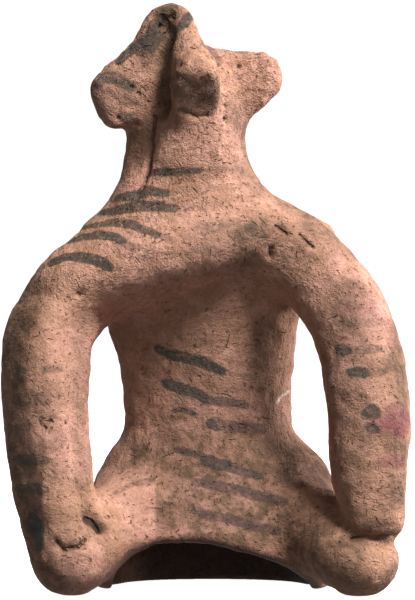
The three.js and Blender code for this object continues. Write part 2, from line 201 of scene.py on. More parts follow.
def trunk_distance(p):
    """Distance to the stacked slices. Middle and half sizes run up the figure as cubic Hermite
    curves; the distance is (ring - 1) over the length of the ring's slope."""
    s, n = trunk_slices, 2.2
    z = p[:, 2] / unit
    slopes = np.gradient(s[:, 1:], s[:, 0], axis=0)
    i = np.clip(np.searchsorted(s[:, 0], z) - 1, 0, len(s) - 2)
    h = (s[i + 1, 0] - s[i, 0])[:, None]
    t = np.clip((z - s[i, 0]) / h[:, 0], 0, 1)[:, None]
    low, high, rise, fall = s[i, 1:], s[i + 1, 1:], slopes[i] * h, slopes[i + 1] * h
    value = (low * (1 + 2 * t) * (1 - t) ** 2 + high * t * t * (3 - 2 * t)
             + rise * t * (1 - t) ** 2 - fall * t * t * (1 - t))
    change = (6 * t * (t - 1) * (low - high) + rise * (1 - t) * (1 - 3 * t) + fall * t * (3 * t - 2)) / h
    uv = (p[:, :2] / unit - value[:, :2]) / value[:, 2:]
    ring = np.maximum((np.abs(uv) ** n).sum(1) ** (1 / n), 1e-4)
    pull = (np.abs(uv) / ring[:, None]) ** (n - 1) * np.sign(uv) / value[:, 2:]
    tilt = (pull * (uv * change[:, 2:] + change[:, :2])).sum(1)
    steep = np.sqrt((pull ** 2).sum(1) + tilt ** 2)
    d = np.maximum((ring - 1) / np.maximum(steep, 1e-4), -value[:, 2:].min(1))
    beyond = np.maximum(s[0, 0] - z, z - s[-1, 0])
    return np.where(beyond > 0, np.hypot(np.maximum(d, 0), beyond), d) * unit


# The hollow under the lap and the arch that opens it, in millimetres. The arch falls away to the
# right by `arch_fall` for each millimetre past `arch_fall_from`.
room_top = 25.6
room_crown = 6
arch_middle = 1.1
arch_half_width = 27.2
arch_height = 14.1
arch_fall = 0.16
arch_fall_from = -4.8
arch_edge = 11.2
arch_back = 9.6
arch_lip = 2.6


def hollow_distance(p, trunk):
    """The empty space under the trunk: the trunk's own distance plus the wall, below a level, and
    an elliptical arch that opens it to the front."""
    x, y, z = p.T
    room = cut(trunk + base_wall, z - room_top, room_crown)
    top = arch_height - arch_fall * (x - arch_fall_from)
    arch = (np.hypot((x - arch_middle) / arch_half_width, np.maximum(z, 0) / top) - 1) * arch_edge
    return joined(room, cut(arch, y - arch_back, 4), 5)


# How widely each join is wiped over, in millimetres. An arm's join widens from the first value by
# the second one towards the shoulder. The lumps of the head have a middle and half sizes.
body_wipes = {"yoke": 7, "left leg": 6, "right leg": 6}
arm_wipes = {"left arm": (4.0, 6), "right arm": (2.2, 4)}
head_wipe = 3
snout_edge = 1.6
snout_wipe = 1.8
head_to_neck = 4
groove_lip = 2.0
foot_edge = 0.8
crown = ((-6.7, -1.8, 90.8), (5.6, 4.0, 9.1))
cheek = ((-9.0, -2.0, 87.0), (6.0, 3.0, 7.0))
snout_end_middle = (-1.8, -15.2, 88.0)
snout_end_facing = (0.1, -0.82, -0.56)


def clay_distance(p):
    """The whole figure in millimetres: trunk, throat, shoulders and legs wiped together, the
    hollow taken out, the arms pressed on, and then the head."""
    z = p[:, 2]
    level = z / unit
    trunk = trunk_distance(p)
    body = joined(trunk, roll_distance(p, "throat"), 1.4 + 2.6 * ramp(70, 62, level))
    for name, width in body_wipes.items():
        body = joined(body, roll_distance(p, name), width)
    body = cut(body, -hollow_distance(p, trunk), arch_lip)
    melt = ramp(45, 56, level)
    for name, (least, more) in arm_wipes.items():
        body = joined(body, roll_distance(p, name), least + more * melt)
    head = joined(lump_distance(p, *crown), roll_distance(p, "left lobe"), head_wipe)
    head = joined(head, lump_distance(p, *cheek), head_wipe)
    head = joined(head, roll_distance(p, "right lobe"), head_wipe)
    past_end = (p - np.array(snout_end_middle) * unit) @ np.array(snout_end_facing)
    head = joined(head, cut(roll_distance(p, "muzzle"), past_end, snout_edge), snout_wipe)
    body = joined(body, head, head_to_neck)
    body = cut(body, -roll_distance(p, "groove"), groove_lip)
    return cut(body, -z, foot_edge)


def skin(distance, low, high, step):
    """A closed mesh of the zero surface. Blocks of four steps that can hold the surface are found
    first; then each small cell that the surface crosses gets one point, the mean of its edge
    crossings, and each crossed edge gets a face through the four cells round it."""
    size = np.ceil((np.array(high) - low) / (4 * step)).astype(int)
    corner = np.stack(np.meshgrid(*[np.arange(n) for n in size], indexing="ij"), -1).reshape(-1, 3)
    middle = np.array(low) + (corner + 0.5) * 4 * step
    corner = corner[np.abs(distance(middle)) < 4 * step * 1.35 + 1.2]
    grid = tuple(4 * size + 1)
    values = np.full(grid, 9.0, np.float32)
    known = np.zeros(grid, bool)
    inner = np.stack(np.meshgrid(*[np.arange(5)] * 3, indexing="ij"), -1).reshape(-1, 3)
    for block in np.array_split(corner, max(1, len(corner) // 1500)):
        at = (block[:, None] * 4 + inner).reshape(-1, 3)
        known[tuple(at.T)] = True
    at = np.argwhere(known)
    for block in np.array_split(at, max(1, len(at) // 200000)):
        values[tuple(block.T)] = distance(np.array(low) + block * step)
    inside = values < 0
    total = np.zeros((*(n - 1 for n in grid), 3), np.float32)
    count = np.zeros(total.shape[:3], np.float32)
    crossed = []
    for axis in range(3):
        side, up = (axis + 1) % 3, (axis + 2) % 3
        a = [slice(None)] * 3
        b = [slice(None)] * 3
        a[axis], b[axis] = slice(0, -1), slice(1, None)
        a, b = tuple(a), tuple(b)
        edge = np.argwhere((inside[a] != inside[b]) & known[a] & known[b])
        first = tuple(edge.T)
        va = values[a][first]
        share = va / (va - values[b][first])
        for ds in (0, 1):
            for du in (0, 1):
                cell = edge.copy()
                cell[:, side] -= ds
                cell[:, up] -= du
                where = edge - cell + 0.0
                where[:, axis] = share
                np.add.at(total, tuple(cell.T), where)
                np.add.at(count, tuple(cell.T), 1)
        crossed.append((axis, edge, inside[a][first]))
    cells = np.argwhere(count > 0)
    number = np.full(count.shape, -1)
    number[tuple(cells.T)] = np.arange(len(cells))
    points = np.array(low) + (cells + total[tuple(cells.T)] / count[tuple(cells.T)][:, None]) * step
    faces = []
    for axis, edge, outward in crossed:
        side, up = (axis + 1) % 3, (axis + 2) % 3
        ring = []
        for ds, du in ((1, 1), (0, 1), (0, 0), (1, 0)):
            cell = edge.copy()
            cell[:, side] -= ds
            cell[:, up] -= du
            ring.append(number[tuple(cell.T)])
        quad = np.stack(ring, 1)
        quad[~outward] = quad[~outward][:, ::-1]
        faces.append(quad)
    return points, np.vstack(faces)


def slope(distance, p, reach):
    """Rate of change of a distance along each axis, by central differences."""
    steps = np.eye(3) * reach
    return np.stack([distance(p + s) - distance(p - s) for s in steps], 1) / (2 * reach)


def settled(distance, p, rounds):
    """Points moved onto the zero surface along its slope, at most 0.6 mm at a time."""
    for _ in range(rounds):
        g = slope(distance, p, 0.2)
        off = np.clip(distance(p) / np.maximum((g ** 2).sum(1), 0.2), -0.6, 0.6)
        p = p - off[:, None] * g
    return p


cell_size = 0.8
low_corner = (-59.7, -42.6, -4.3)
high_corner = (60.3, 41.0, 164.0)
points, quads = skin(clay_distance, low_corner, high_corner, cell_size)
points = settled(clay_distance, points, 2)
facing = slope(clay_distance, points, 0.4)
facing /= np.maximum(np.linalg.norm(facing, axis=1), 1e-6)[:, None]

# The figure stands with the middle of its box over the origin, as its solid does.
middle = (points.min(0) + points.max(0)) / 2
moved = np.array([-middle[0], -middle[1], -points[:, 2].min()])


# Where the eye meets the clay. The photograph is taken level with the figure from 1.1 m away; a
# place on it, in pixels, is carried along its line of sight onto the clay.

eye_tilt = math.radians(1.0)
eye_away = 1100
eye_level = 79
pixels_forward = 4020.5
photo_middle = (208.5, 299.5)
eye = np.array([0, -eye_away * math.cos(eye_tilt), eye_level + eye_away * math.sin(eye_tilt)])
clay_tree = BVHTree.FromPolygons(points.tolist(), quads.tolist())


def seen_from(start, directions):
    """First meeting of each line from `start` with the clay; lines that miss are dropped."""
    found = []
    for direction in directions:
        hit = clay_tree.ray_cast(Vector(start), Vector(direction))[0]
        if hit is not None:
            found.append(list(hit))
    return np.array(found).reshape(-1, 3)


def on_front(pixels, gap=3.0):
    """Pixel corners of a line, filled in every `gap` pixels and carried onto the clay. A step
    forward is as long as `pixels_forward` pixels, counted from the photograph's middle."""
    px = np.asarray(pixels, float)
    if len(px) > 1:
        run = np.concatenate([[0], np.cumsum(np.linalg.norm(np.diff(px, axis=0), axis=1))])
        at = np.linspace(0, run[-1], max(2, int(run[-1] / gap) + 1))
        px = np.column_stack([np.interp(at, run, px[:, 0]), np.interp(at, run, px[:, 1])])
    right = (px[:, :1] - photo_middle[0]) / pixels_forward * np.array([1, 0, 0])
    upward = np.array([0, math.sin(eye_tilt), math.cos(eye_tilt)])
    forward = np.array([0, math.cos(eye_tilt), -math.sin(eye_tilt)])
    up = (photo_middle[1] - px[:, 1:]) / pixels_forward * upward
    return seen_from(eye, right + up + forward)


def on_back(marks, gap=1.0):
    """Corners of a line given as (x, z) in millimetres, carried onto the clay from behind."""
    xz = np.asarray(marks, float)
    run = np.concatenate([[0], np.cumsum(np.linalg.norm(np.diff(xz, axis=0), axis=1))])
    at = np.linspace(0, run[-1], max(2, int(run[-1] / gap) + 1))
    places = np.column_stack([np.interp(at, run, xz[:, 0]), 0 * at + 90, np.interp(at, run, xz[:, 1])])
    found = [clay_tree.ray_cast(Vector(p), Vector((0, -1, 0)))[0] for p in places]
    return np.array([list(f) for f in found if f is not None]).reshape(-1, 3)


def from_line(p, line):
    """Distance from each point to a chain of points, and how far along the chain it lies, 0 to 1."""
    far = np.full(len(p), 99.0)
    along = np.zeros(len(p))
    if len(line) == 0:
        return far, along
    near = np.all((p > line.min(0) - 9) & (p < line.max(0) + 9), axis=1)
    if not near.any():
        return far, along
    q = p[near]
    best = np.full(len(q), 99.0)
    share = np.zeros(len(q))
    starts, ends = (line[:-1], line[1:]) if len(line) > 1 else (line, line)
    for i, (a, b) in enumerate(zip(starts, ends)):
        ab = b - a
        t = np.clip(((q - a) @ ab) / max(ab @ ab, 1e-9), 0, 1)
        d = np.linalg.norm(q - a - t[:, None] * ab, axis=1)
        closer = d < best
        best[closer] = d[closer]
        share[closer] = (i + t[closer]) / len(starts)
    far[near] = best
    along[near] = share
    return far, along


def drift(p, size, seed):
    """Smooth random value from -1 to 1. Lattice corners `size` mm apart hold hashed numbers,
    blended by 6t^5 - 15t^4 + 10t^3 along each axis."""
    q = p / size + 11.3 * seed
    cell = np.floor(q).astype(np.int64)
    t = q - cell
    t = t ** 3 * (t * (6 * t - 15) + 10)
    total = np.zeros(len(p))
    for corner in np.array(np.meshgrid([0, 1], [0, 1], [0, 1])).reshape(3, -1).T:
        c = cell + corner
        mixed = (c[:, 0] * 73856093) ^ (c[:, 1] * 19349663) ^ (c[:, 2] * 83492791) ^ (seed * 2654435761)
        mixed = ((mixed & 0xffffffff) * 1274126177) & 0xffffffff
        mixed = ((mixed ^ (mixed >> 15)) * 2246822519) & 0xffffffff
        value = ((mixed >> 8) & 0xffff) / 32767.5 - 1
        total += value * np.prod(np.where(corner, t, 1 - t), axis=1)
    return total


# The maker's handling: low lumps where the clay was pressed, then the creases, chips, pits and
# cracks of the real figure, each a line in pixels with its half width and depth in
# millimetres. A depth below nought is a ridge.

pressed = [
    # height and size of the lumps in millimetres, seed
    (0.42, 13.0, 1),
    (0.24, 6.0, 2),
    (0.18, 3.0, 3),
    (0.12, 1.6, 4),
]
handled = sum(rise * drift(points, size, seed) for rise, size, seed in pressed)

creases = [
    ([(156, 116), (152, 138), (153, 148), (149, 169), (144, 185), (138, 192)], 1.1, 1.1),
    ([(223, 70), (225, 95), (226, 122)], 1.2, 0.25),
    ([(57, 541), (64, 551), (71, 547), (79, 547), (87, 538)], 0.9, 1.0),
    ([(91, 518), (97, 521), (102, 527)], 1.9, 2.0),
    ([(100, 535), (119, 520), (148, 512), (164, 509)], 1.4, 0.2),
    ([(378, 496), (377, 504), (380, 512)], 1.0, 0.3),
    ([(352, 537), (375, 538), (400, 536), (408, 530)], 1.1, 1.0),
    ([(277, 225), (288, 233)], 0.7, 0.7),
    ([(304, 238), (314, 247)], 0.7, 0.5),
    ([(272, 247), (271, 256)], 0.8, 0.9),
    ([(48, 330), (49, 380), (47, 430), (45, 480), (43, 530), (44, 558)], 0.9, -0.35),
    ([(36, 417), (42, 428), (52, 431)], 1.2, 0.25),
    ([(161, 14), (168, 22), (164, 30)], 1.5, 0.8),
    ([(181, 108), (190, 113), (199, 117), (208, 115)], 0.7, 0.5),
    ([(120, 258), (152, 262), (186, 254)], 0.9, 0.3),
    ([(128, 244), (150, 250), (176, 262)], 0.8, 0.25),
    ([(190, 102), (196, 92), (204, 84)], 0.7, 0.35),
    ([(112, 100), (124, 106), (138, 104)], 0.7, 0.3),
    ([(222, 96), (238, 100), (252, 92)], 0.7, 0.3),
    ([(133, 433), (135, 428), (141, 427), (144, 432), (141, 438)], 0.6, 0.3),
    ([(205, 535), (160, 540), (140, 550)], 1.0, -0.3),
    ([(175, 411), (184, 409), (192, 414), (196, 414)], 0.9, 0.15),
]
muzzle_side = [(162, 26), (164, 60), (166, 100)]
muzzle_side_half_width = 2.5
muzzle_side_depth = 1.2
pits = [(69, 298, 1.0), (80, 294, 1.3), (140, 93, 1.1), (241, 65, 1.1), (257, 53, 0.9), (192, 45, 0.8),
        (181, 64, 0.7), (301, 235, 0.9), (163, 24, 1.6), (173, 16, 1.2), (133, 86, 0.9), (150, 101, 0.8),
        (195, 46, 0.7), (172, 40, 0.9), (120, 118, 0.9), (139, 124, 1.0), (226, 118, 0.9),
        (53, 420, 1.2), (46, 427, 1.1), (68, 422, 0.8), (110, 516, 0.9),
        (318, 505, 0.8), (300, 398, 0.7), (226, 105, 0.9)]
broken_and_crease_shade = np.full(len(points), 9.0)
for line, half_width, depth in creases:
    d, along = from_line(points, on_front(line))
    handled -= depth * np.exp(-(d / half_width) ** 2) * (1 + 0.3 * drift(points, 2.0, 5))
    # The deeper creases are darkened in the colour as well: painted shade in their bottoms.
    if depth > 0.4:
        broken_and_crease_shade = np.minimum(broken_and_crease_shade, d - half_width * 0.45)
d, along = from_line(points, on_front(muzzle_side))
handled -= muzzle_side_depth * np.exp(-(d / muzzle_side_half_width) ** 2)
for x, y, half_width in pits:
    d, along = from_line(points, on_front([(x, y)]))
    handled -= 0.7 * half_width * np.exp(-(d / half_width) ** 2)
    broken_and_crease_shade = np.minimum(broken_and_crease_shade, d - half_width * 0.5)

# Where the surface has flaked away: a chain of pixels, then the reach and the depth in millimetres.
flaked = [
    ([(163, 18), (172, 12)], 3.4, 0.6),
    ([(42, 420), (50, 430)], 3.0, 0.35),
    ([(188, 75), (214, 76)], 4.0, 0.3),
]
rough = 0.6 * drift(points, 2.6, 6) + 0.4 * drift(points, 1.4, 7)
for line, reach, depth in flaked:
    d, along = from_line(points, on_front(line))
    amount = ramp(reach, reach * 0.4, d + 1.2 * rough)
    handled -= depth * amount * (0.45 + 0.9 * rough)
    broken_and_crease_shade = np.minimum(broken_and_crease_shade, 1.5 - 1.3 * amount - 0.8 * rough * amount)


# The head is coarser than the rest, and nothing is pressed into the rim that it stands on. The
# hollow, least its left wall, and the gap beside the left foot are painted near black: painted shade.
handled += 0.28 * ramp(126, 136, points[:, 2]) * drift(points, 1.9, 10)
handled *= ramp(0.2, 1.6, points[:, 2])
hollow_shade = ramp(1.5, 0.1, hollow_distance(points, trunk_distance(points)))
hollow_shade *= 1 - 0.75 * ramp(-15, -23, points[:, 0])
foot_gap = [(90, 518), (96, 520), (103, 527)]
d, along = from_line(points, on_front(foot_gap, 1.5))
hollow_shade = np.maximum(hollow_shade, 0.8 * ramp(2.0, 0.9, d + 0.5 * rough))
# Painted shade: how open the surface is, so that folds and recesses can be darkened in the colour.
fold_shade = clay_distance(points + facing * 5.0) / 5.0
points = points + facing * handled[:, None]
points[:, 2] = np.maximum(points[:, 2], 0)


# The paint: a thin dark wash, brushed on in short bands and mostly worn away. Each band is a
# line in pixels, then its width in millimetres, its strength and its tint, from green-grey at 0
# to plum at 1.

bands = [
    # head
    ([(176, 32), (182, 25), (191, 15)], 2.6, 0.9, 0.1),
    ([(165, 8), (176, 6)], 1.8, 0.7, 0.0),
    # This broad band is paint and also painted shade on the crown's shadowed left side.
    ([(165, 17), (158, 30), (151, 44)], 4.6, 0.75, 0.3),
    ([(120, 61), (132, 50), (142, 43), (150, 46)], 2.6, 0.9, 0.1),
    ([(130, 45), (148, 41), (160, 44)], 1.6, 0.6, 0.1),
    ([(99, 84), (106, 77), (117, 77), (132, 87)], 2.6, 0.8, 0.0),
    ([(122, 116), (128, 119), (135, 117)], 2.6, 0.75, 0.0),
    ([(205, 43), (212, 51), (218, 62)], 2.8, 0.65, 0.4),
    ([(100, 98), (108, 110)], 1.4, 0.4, 0.0),
    # neck and shoulders
    ([(151, 173), (166, 171), (180, 171), (201, 170)], 1.9, 0.9, 0.1),
    ([(201, 169), (218, 168), (238, 168)], 1.3, 0.5, 0.3),
    ([(118, 198), (138, 195), (150, 190), (168, 193)], 2.4, 0.9, 0.1),
    ([(168, 193), (185, 189), (212, 188), (250, 185)], 1.7, 0.4, 0.5),
    ([(99, 213), (119, 210), (138, 206), (160, 206), (175, 208)], 2.4, 0.9, 0.1),
    ([(175, 208), (195, 208)], 1.6, 0.5, 0.3),
    ([(82, 229), (98, 225), (114, 222), (132, 224), (148, 230), (160, 235)], 2.2, 0.85, 0.1),
    ([(160, 235), (175, 240)], 1.6, 0.5, 0.7),
    ([(71, 241), (85, 236), (100, 234), (114, 236), (124, 241)], 2.5, 0.9, 0.0),
    ([(126, 244), (138, 249), (153, 256)], 1.8, 0.6, 0.7),
    ([(53, 262), (64, 257), (77, 255), (90, 257), (103, 261), (110, 267)], 2.7, 0.95, 0.1),
    ([(185, 236), (201, 230), (220, 225), (238, 221)], 2.6, 0.42, 0.3),
    ([(243, 236), (252, 231), (262, 234)], 3.2, 0.5, 0.1),
    ([(189, 252), (200, 248), (212, 248)], 1.9, 0.42, 0.2),
    ([(196, 208), (218, 203), (238, 199), (259, 196)], 1.5, 0.26, 0.4),
    # chest and lap
    ([(159, 349), (169, 354), (185, 357), (204, 362), (225, 371)], 2.5, 0.95, 0.15),
    ([(226, 372), (238, 374), (257, 375)], 1.0, 0.6, 0.3),
    ([(166, 383), (180, 387), (196, 393), (209, 400)], 2.5, 0.95, 0.1),
    ([(209, 400), (225, 402), (247, 405)], 2.1, 0.8, 0.5),
    ([(174, 411), (185, 409), (197, 414)], 1.4, 0.85, 0.1),
    ([(212, 423), (222, 424)], 2.8, 0.9, 0.1),
    ([(222, 425), (243, 427), (265, 429)], 2.7, 0.75, 0.8),
    ([(176, 449), (190, 452), (206, 456)], 1.5, 0.85, 0.5),
    ([(206, 459), (218, 464), (228, 466)], 3.0, 0.9, 0.4),
    ([(228, 468), (246, 472), (261, 477)], 2.2, 0.85, 0.6),
    ([(196, 482), (217, 485), (238, 490), (265, 496), (286, 502)], 2.5, 0.8, 0.8),
    ([(196, 509), (212, 516), (230, 518), (251, 525), (278, 530)], 2.3, 0.8, 0.9),
    ([(116, 493), (132, 485), (153, 480)], 1.7, 0.6, 0.6),
    ([(186, 492), (196, 508)], 2.0, 0.35, 1.0),
    # left arm
    ([(16, 335), (29, 334)], 2.2, 0.45, 0.0),
    ([(22, 300), (30, 280), (42, 268)], 3.2, 0.6, 0.0),
    ([(13, 370), (29, 370)], 2.2, 0.6, 0.1),
    ([(44, 370), (52, 369), (61, 368)], 2.0, 0.6, 0.5),
    ([(13, 400), (32, 400), (49, 400)], 2.2, 0.55, 0.2),
    ([(15, 430), (27, 430)], 2.3, 0.6, 0.1),
    ([(16, 459), (32, 460), (47, 460)], 2.4, 0.75, 0.0),
    ([(18, 488), (34, 488), (47, 489)], 2.4, 0.75, 0.0),
    ([(33, 519), (38, 530), (41, 544)], 4.2, 0.97, 0.0),
    # right arm
    ([(337, 322), (360, 322), (388, 321)], 2.0, 0.5, 0.3),
    ([(338, 349), (352, 350)], 2.2, 0.85, 0.1),
    ([(352, 350), (370, 349), (385, 348)], 2.0, 0.6, 0.2),
    ([(351, 372), (360, 372), (370, 373)], 2.3, 0.92, 0.05),
    ([(370, 372), (386, 371)], 2.0, 0.6, 0.3),
    ([(368, 413), (374, 409), (377, 414)], 2.8, 0.9, 0.2),
    ([(369, 426), (377, 429)], 2.6, 0.85, 0.1),
]
blushes = [
    ([(382, 424), (395, 412), (408, 418), (400, 430)], 5.4, 0.8),
    ([(384, 460), (395, 459), (405, 462)], 3.6, 0.6),
    ([(392, 425), (406, 428)], 3.2, 0.9),
    ([(340, 310), (370, 305), (392, 330)], 3.0, 0.25),
]
back_bands = [
    ([(-24, 106), (-8, 109), (10, 108)], 2.4, 0.6, 0.1),
    ([(-30, 98), (-12, 101), (14, 100), (28, 97)], 2.4, 0.7, 0.1),
    ([(-22, 88), (-4, 90), (18, 88)], 2.2, 0.5, 0.4),
    ([(-18, 66), (0, 67), (17, 65)], 2.3, 0.6, 0.2),
    ([(-19, 54), (-2, 55), (18, 54)], 2.3, 0.5, 0.5),
    ([(-22, 41), (0, 42), (20, 40)], 2.3, 0.4, 0.7),
    ([(-48, 70), (-40, 71)], 2.3, 0.6, 0.1),
    ([(-50, 52), (-40, 52)], 2.3, 0.5, 0.2),
    ([(40, 72), (50, 71)], 2.3, 0.5, 0.2),
    ([(38, 54), (50, 53)], 2.3, 0.45, 0.4),
    ([(-12, 132), (0, 133)], 2.2, 0.5, 0.1),
]

painted = np.full(len(points), 6.0)
strength = np.zeros(len(points))
tint = np.full(len(points), 0.3)
lines = [(on_front(line), *rest) for line, *rest in bands]
lines += [(on_back(line), *rest) for line, *rest in back_bands]
for line, width, power, plum in lines:
    d, along = from_line(points, line)
    half = width * 0.68 * (0.66 + 0.34 * np.sin(np.pi * np.clip(along, 0.02, 0.98)) ** 0.5)
    edge = d - half * (1 + 0.15 * drift(points, 3.0, 9))
    ours = edge < painted
    painted = np.where(ours, edge, painted)
    strength = np.where(ours & (edge < 2.5), power, strength)
    tint = np.where(ours & (edge < 2.5), plum, tint)
blush = np.zeros(len(points))
for line, width, power in blushes:
    d, along = from_line(points, on_front(line))
    blush = np.maximum(blush, power * (1 - ramp(width * 0.25, width * 0.75, d)))


# Soil and painted shade: brown earth from the ground that has settled on the clay, and painted
# shade on the sides, folds, gaps and lap that lie in shadow. Each is a chain of pixels, then its
# reach in millimetres and its strength.

soil_and_shade_lines = [
    ([(180, 84), (198, 96), (212, 90)], 6.5, 0.9),
    ([(163, 22), (165, 60), (167, 104)], 4.2, 1.0),
    ([(168, 16), (152, 42)], 7.0, 1.0),
    ([(134, 132), (133, 158)], 4.0, 0.4),
    ([(140, 452), (200, 468), (250, 484)], 10.0, 1.0),
    ([(130, 500), (230, 525)], 6.0, 0.35),
    ([(82, 330), (84, 400), (86, 480)], 5.0, 0.5),
    ([(150, 330), (240, 340)], 9.0, 0.3),
    ([(91, 518), (97, 521), (102, 527)], 3.0, 1.0),
    ([(322, 470), (336, 520)], 5.0, 0.8),
    ([(270, 520), (330, 560)], 14.0, 1.0),
    ([(190, 505), (270, 525)], 17.0, 1.0),
    ([(180, 445), (285, 462)], 15.0, 0.9),
    ([(244, 120), (252, 180), (300, 212), (350, 250)], 6.5, 0.75),
    ([(300, 480), (325, 470)], 8.0, 0.85),
    ([(385, 588), (402, 562)], 3.5, 0.8),
    ([(176, 370), (250, 420)], 18.0, 0.55),
    ([(345, 560), (352, 582)], 6.0, 0.8),
    ([(46, 400), (52, 470)], 6.0, 0.5),
    ([(200, 540), (300, 548)], 6.0, 0.9),
    ([(262, 330), (264, 400)], 5.0, 0.7),
    ([(42, 560), (56, 586)], 5.5, 1.0),
    ([(98, 440), (112, 462)], 5.0, 0.7),
    ([(352, 537), (400, 536)], 2.0, 0.9),
    ([(57, 541), (71, 548), (87, 538)], 1.6, 0.9),
    ([(246, 262), (250, 236), (262, 226)], 6.5, 0.75),
    ([(284, 236), (300, 262)], 7.0, 0.6),
    ([(180, 275), (240, 265)], 4.0, 0.3),
    ([(342, 300), (348, 390), (352, 470)], 8.5, 0.8),
    ([(398, 330), (404, 400), (400, 490)], 6.0, 0.9),
    ([(28, 300), (16, 340), (14, 420), (22, 500), (34, 545)], 8.5, 1.0),
    ([(352, 510), (372, 528)], 7.0, 0.45),
    ([(60, 545), (92, 520)], 7.0, 0.45),
    ([(300, 500), (330, 545)], 8.0, 0.4),
    ([(108, 90), (126, 100)], 8.0, 0.6),
    ([(215, 240), (250, 250)], 7.0, 0.4),
]
soil_and_shade = np.zeros(len(points))
for line, reach, power in soil_and_shade_lines:
    d, along = from_line(points, on_front(line, 8.0))
    soil_and_shade = np.maximum(soil_and_shade, power * ramp(reach * 1.3, reach * 0.2, d + 2.2 * drift(points, 5.0, 8)))

# How coarse the clay is, most on the head, and the pale scratch beside the right arm.
coarse = np.maximum(ramp(78, 84, points[:, 2] / unit), 0.45 * ramp(48, 54, points[:, 2] / unit))
scratch_line = [(278, 402), (284, 395), (291, 391)]
scratch, along = from_line(points, on_front(scratch_line, 1.5))

points = (points + moved) / 1000
mesh = bpy.data.meshes.new("ape_clay")
mesh.from_pydata(points.tolist(), [], quads.tolist())
mesh.update()
mesh.polygons.foreach_set("use_smooth", np.ones(len(mesh.polygons), bool))
for name, values in {"painted": painted, "strength": strength, "tint": tint, "blush": blush,
                     "broken_and_crease_shade": broken_and_crease_shade, "fold_shade": fold_shade, "soil_and_shade": soil_and_shade, "hollow_shade": hollow_shade,
                     "scratch": scratch, "coarse": coarse}.items():
    mesh.attributes.new(name, "FLOAT", "POINT").data.foreach_set("value", values.astype(np.float32))
figure = bpy.data.objects.new("ape_clay", mesh)
bpy.context.scene.collection.objects.link(figure)
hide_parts("ape_figurine")
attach(figure, "root")


# The fired clay: pinkish where the slip is clean and browner where it is worn, full of chaff
# marks and small pits, with painted shade in the folds and the dark wash over it.

clay = bpy.data.materials.new("fired clay")
clay.use_nodes = True
tree = clay.node_tree
shader = tree.nodes["Principled BSDF"]
place = tree.nodes.new("ShaderNodeTexCoord").outputs["Object"]


def link(a, b):
    """Joins an output to an input, or sets the input to a plain value."""
    if hasattr(a, "is_linked"):
        tree.links.new(a, b)
    else:
        b.default_value = a


def noise(scale, detail=2.0, rough=0.5, where=None):
    """Noise from 0 to 1; `scale` is lumps per metre."""
    node = tree.nodes.new("ShaderNodeTexNoise")
    link(where or place, node.inputs["Vector"])
    node.inputs["Scale"].default_value = scale
    node.inputs["Detail"].default_value = detail
    node.inputs["Roughness"].default_value = rough
    return node.outputs["Fac"]


def stretched(turn, length):
    """Object coordinates turned by `turn` (radians) and drawn out, for straw-shaped marks."""
    node = tree.nodes.new("ShaderNodeMapping")
    node.vector_type = "TEXTURE"
    link(place, node.inputs["Vector"])
    node.inputs["Rotation"].default_value = turn
    node.inputs["Scale"].default_value = (1, 1, length)
    return node.outputs["Vector"]


def attribute(name):
    """A value stored at the clay's points."""
    node = tree.nodes.new("ShaderNodeAttribute")
    node.attribute_name = name
    return node.outputs["Fac"]


def between(value, low, high, start=0.0, end=1.0):
    """`value` carried from low..high to start..end by a smooth step."""
    node = tree.nodes.new("ShaderNodeMapRange")
    node.interpolation_type = "SMOOTHSTEP"
    link(value, node.inputs["Value"])
    for socket, number in zip(("From Min", "From Max", "To Min", "To Max"), (low, high, start, end)):
        node.inputs[socket].default_value = number
    return node.outputs["Result"]


def sum_of(a, b, by="ADD"):
    """One sum, product, difference, smaller or larger of two values."""
    node = tree.nodes.new("ShaderNodeMath")
    node.operation = by
    link(a, node.inputs[0])
    link(b, node.inputs[1])
    return node.outputs[0]


def mixed(amount, a, b, way="MIX"):
    """Colour a going to colour b by `amount`."""
    node = tree.nodes.new("ShaderNodeMix")
    node.data_type = "RGBA"
    node.blend_type = way
    link(amount, node.inputs[0])
    link(a, node.inputs[6])
    link(b, node.inputs[7])
    return node.outputs[2]


pink = (0.62, 0.325, 0.255, 1)
ochre = (0.53, 0.288, 0.203, 1)
brown = (0.33, 0.170, 0.100, 1)
pit_brown = (0.17, 0.085, 0.05, 1)
straw_pale = (0.70, 0.45, 0.31, 1)
green_grey = (0.034, 0.039, 0.032, 1)
plum_grey = (0.066, 0.036, 0.036, 1)
rose = (0.20, 0.060, 0.070, 1)
soil_and_shade_brown = (0.098, 0.056, 0.034, 1)
# near black, for the painted shade in the hollow and the gap beside the left foot
painted_shade_black = (0.008, 0.007, 0.006, 1)
scratch_white = (0.80, 0.66, 0.56, 1)

patches = noise(34, 3, 0.55)
mottle = noise(160, 4, 0.62)
grit = noise(900, 3, 0.7)
grain = noise(2300, 2, 0.6)
wiped = noise(560, 3, 0.6, stretched((0.05, 0.08, 0.0), 9.0))
straws = [noise(760, 1, 0.5, stretched(turn, 5.0)) for turn in
          ((0.2, 0.3, 0.0), (0.5, 1.0, 0.4), (-0.3, 1.7, 0.2), (0.3, 2.5, 0.6), (1.3, 0.2, 0.1))]
marks = between(straws[0], 0.72, 0.78)
for straw in straws[1:]:
    marks = sum_of(marks, between(straw, 0.72, 0.78), "MAXIMUM")
pale = sum_of(between(straws[1], 0.31, 0.26), between(straws[3], 0.31, 0.26), "MAXIMUM")
stains = noise(62, 5, 0.68)
specks = between(noise(900, 1, 0.5), 0.69, 0.75)

